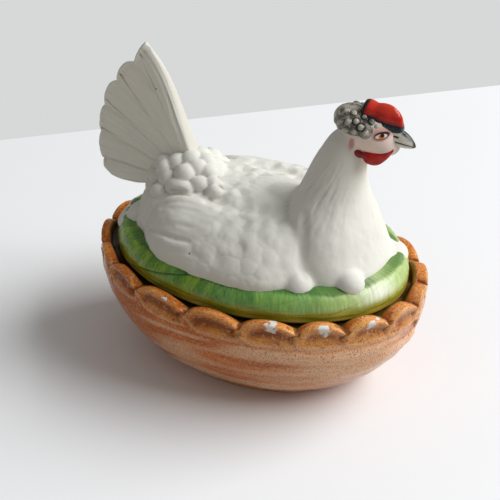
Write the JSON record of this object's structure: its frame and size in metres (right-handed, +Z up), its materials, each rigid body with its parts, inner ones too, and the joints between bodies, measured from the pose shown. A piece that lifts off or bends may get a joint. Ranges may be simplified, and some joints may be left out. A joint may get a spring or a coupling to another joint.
{
  "type": "hen on nest dish",
  "caption": "Oval lidded serving dish: a glazed pottery basket with a plaited, lobed rim, and a lift-off cover shaped as a hen sitting on a ring of grass.",
  "frame": {"origin": "centre of the basket's flat foot, on the table", "axes": "+X the way the hen faces, +Y the hen's left, +Z up"},
  "size_m": [0.2285, 0.1628, 0.197],
  "materials": {
    "basket_glaze": "glossy caramel brown glaze, worn off on the tops of the lobes",
    "grass_glaze": "glossy green, brushed on, yellow at the edge",
    "bisque": "matt unglazed white",
    "crest_enamel": "glossy speckled grey",
    "red_enamel": "glossy red",
    "beak_enamel": "glossy grey"
  },
  "bodies": {
    "basket": {"basket": "basket_glaze"},
    "cover": {"nest_cover": "grass_glaze", "hen_body": "bisque", "tail_fan": "bisque", "head_crest": "crest_enamel", "comb": "red_enamel", "beak": "beak_enamel", "right_wattle": "red_enamel", "left_wattle": "red_enamel"}
  },
  "joints": [
    {"name": "cover_lift", "type": "slide", "parent": "basket", "child": "cover", "axis": [0, 0, 1], "range_m": [0, 0.12]}
  ]
}
